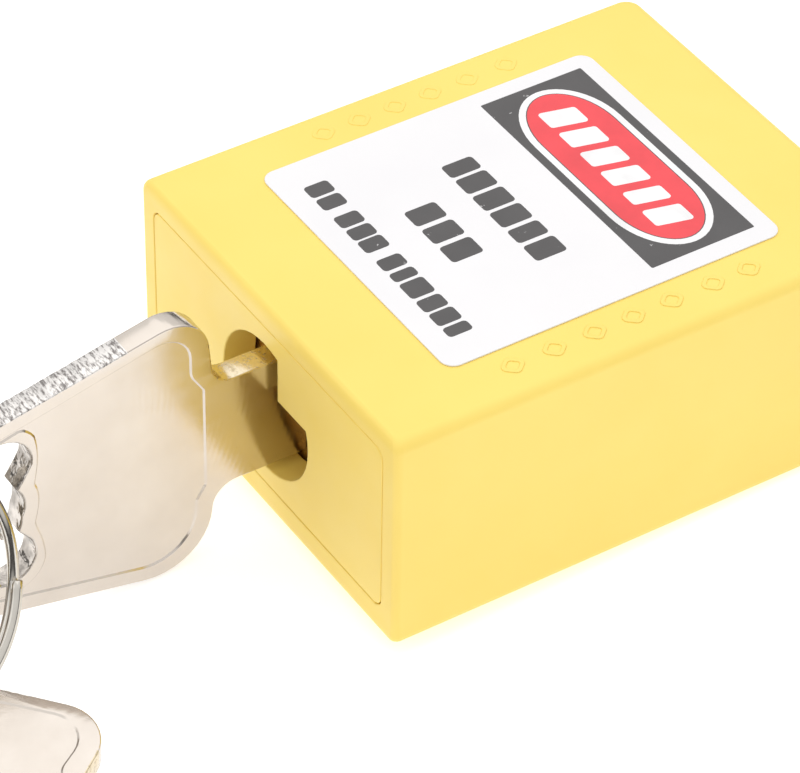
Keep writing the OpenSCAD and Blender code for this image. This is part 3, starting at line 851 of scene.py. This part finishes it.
def build_ring():
    """Two turns of wire side by side, with a crossover where one passes to the other's side."""
    tilt = math.radians(RING_TILT)
    n = Vector((math.cos(tilt), 0, math.sin(tilt)))
    e1 = Vector((0, 1, 0))
    e2 = n.cross(e1)
    path = []
    count = int(RING_SWEEP / RING_STEP)
    for k in range(count + 1):
        a = RING_SWEEP * k / count + RING_FIRST
        cross = min(1.0, max(0.0, (a - CROSS_FROM) / CROSS_LENGTH))
        ease = cross * cross * (3 - 2 * cross)
        off = TURN_OFF * WIRE_R * (2 * ease - 1)
        t = math.radians(RING_START + a)
        path.append(Vector(RING_AT) + (e1 * math.cos(t) + e2 * math.sin(t)) * RING_R + n * off)
    b = Builder()
    tube(b, path, WIRE_R, 14)
    b.make("split_ring_wire", [WIRE], "ring", ["split_ring"], sharp=50, weighted=False)


# ---------------------------------------------------------------- springs
PIN_SPRING = dict(along=(1, 0, 0), r=1.12, w=0.15, length=4.85, turns=7, per=16)
PIN_SPRING_X = -14.9
SHACKLE_SPRING = dict(along=(0, 1, 0), r=2.5, w=0.34, length=20.7, turns=12.5, per=26)
SHACKLE_SPRING_S, SHACKLE_SPRING_KEEP = 4.7, 0.345
END_TURN = 0.9


def coil(centre, along, r, w, length, turns, per):
    """Points of a coil spring with closed end turns, along a line from centre; w is the wire's radius."""
    along = Vector(along)
    e1 = along.orthogonal().normalized()
    e2 = along.cross(e1)
    out, count = [], int(turns * per)
    for k in range(count + 1):
        t = turns * (k / count)
        lift = max(0.0, min(1.0, (t - END_TURN) / (turns - 2 * END_TURN)))
        h = w + (length - 2 * w) * lift
        a = 2 * math.pi * t
        out.append(Vector(centre) + e1 * r * math.cos(a) + e2 * r * math.sin(a) + along * h)
    return out


def build_springs():
    b = Builder()
    for i in range(len(CUTS)):
        start = (PIN_SPRING_X, PIN_FIRST + PIN_PITCH * i, AXIS_Z)
        tube(b, coil(start, **PIN_SPRING), PIN_SPRING["w"], 8)
    b.make("pin_spring_wires", [SPRING_STEEL], "body", ["pin_springs"], sharp=60,
        weighted=False)
    b = Builder()
    start = (LEG_X, SHACKLE_SPRING_S, AXIS_Z)
    tube(b, coil(start, **SHACKLE_SPRING), SHACKLE_SPRING["w"], 10)
    obj = b.make("shackle_spring_wire", [SPRING_STEEL], "body", ["shackle_spring"], sharp=60,
        weighted=False)
    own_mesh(obj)


# ---------------------------------------------------------------- floor and light
FLOOR_DROP, FLOOR_RUN, FLOOR_GAP, FLOOR_HALF = 1.78, 57.5, 0.02, 1500.0


def build_stage():
    """A floor just under the body's shackle end, which falls a little towards the keys."""
    mesh = bpy.data.meshes.new("floor")
    corners = [(u * FLOOR_HALF, v * FLOOR_HALF) for u, v in ((-1, -1), (1, -1), (1, 1), (-1, 1))]
    rise = FLOOR_DROP / FLOOR_RUN
    points = [row(x, BODY_L + far, far * rise - FLOOR_GAP) for x, far in corners]
    mesh.from_pydata(points, [], [(0, 1, 2, 3)])
    m = Mat("floor_paper", (0.80, 0.80, 0.80), 0.9)
    m.tint(m.noise(3, 2), 0.3, 0.7, (0.805, 0.805, 0.805), (0.795, 0.795, 0.795))
    m.set("Emission Color", (1, 1, 1, 1))
    m.set("Emission Strength", 0.52)
    mesh.materials.append(m.mat)
    obj = bpy.data.objects.new("floor", mesh)
    bpy.context.scene.collection.objects.link(obj)


def area_light(name, at, size, power, target=(0, 0, 10)):
    light = bpy.data.lights.new(name, "AREA")
    light.shape, light.size, light.size_y, light.energy = "RECTANGLE", size[0], size[1], power
    obj = bpy.data.objects.new(name, light)
    bpy.context.scene.collection.objects.link(obj)
    eye = Vector(row(*at))
    obj.location = eye
    obj.rotation_euler = (Vector(row(*target)) - eye).to_track_quat("-Z", "Y").to_euler()


WORLD_STOPS = ((0.0, 0.10), (0.12, 0.10), (0.30, 0.90), (0.75, 1.06), (1.0, 1.12))


def build_world():
    """A white studio: bright overhead, with a darker band near the horizon that metal can pick up."""
    world = bpy.data.worlds.new("studio")
    bpy.context.scene.world = world
    world.use_nodes = True
    nt = world.node_tree
    split = nt.nodes.new("ShaderNodeSeparateXYZ")
    nt.links.new(nt.nodes.new("ShaderNodeTexCoord").outputs["Generated"], split.inputs["Vector"])
    ramp = nt.nodes.new("ShaderNodeValToRGB")
    elements = ramp.color_ramp.elements
    for k, (at, v) in enumerate(WORLD_STOPS):
        stop = elements[k] if k < 2 else elements.new(at)
        stop.position, stop.color = at, (v, v, v, 1)
    nt.links.new(split.outputs["Z"], ramp.inputs["Fac"])
    nt.links.new(ramp.outputs["Color"], nt.nodes["Background"].inputs["Color"])
    nt.nodes["Background"].inputs["Strength"].default_value = 1.0


add_camera()
finish_cad_nodes()
build_shell()
build_cover()
build_label()
build_marks()
build_keys()
build_ring()
build_springs()
build_stage()
area_light("softbox_top", (-150, 200, 950), (1.3, 1.3), 2.2)
area_light("softbox_front", (-260, -620, 330), (0.7, 0.5), 0.5)
build_world()
bpy.context.scene.view_settings.view_transform = "Standard"
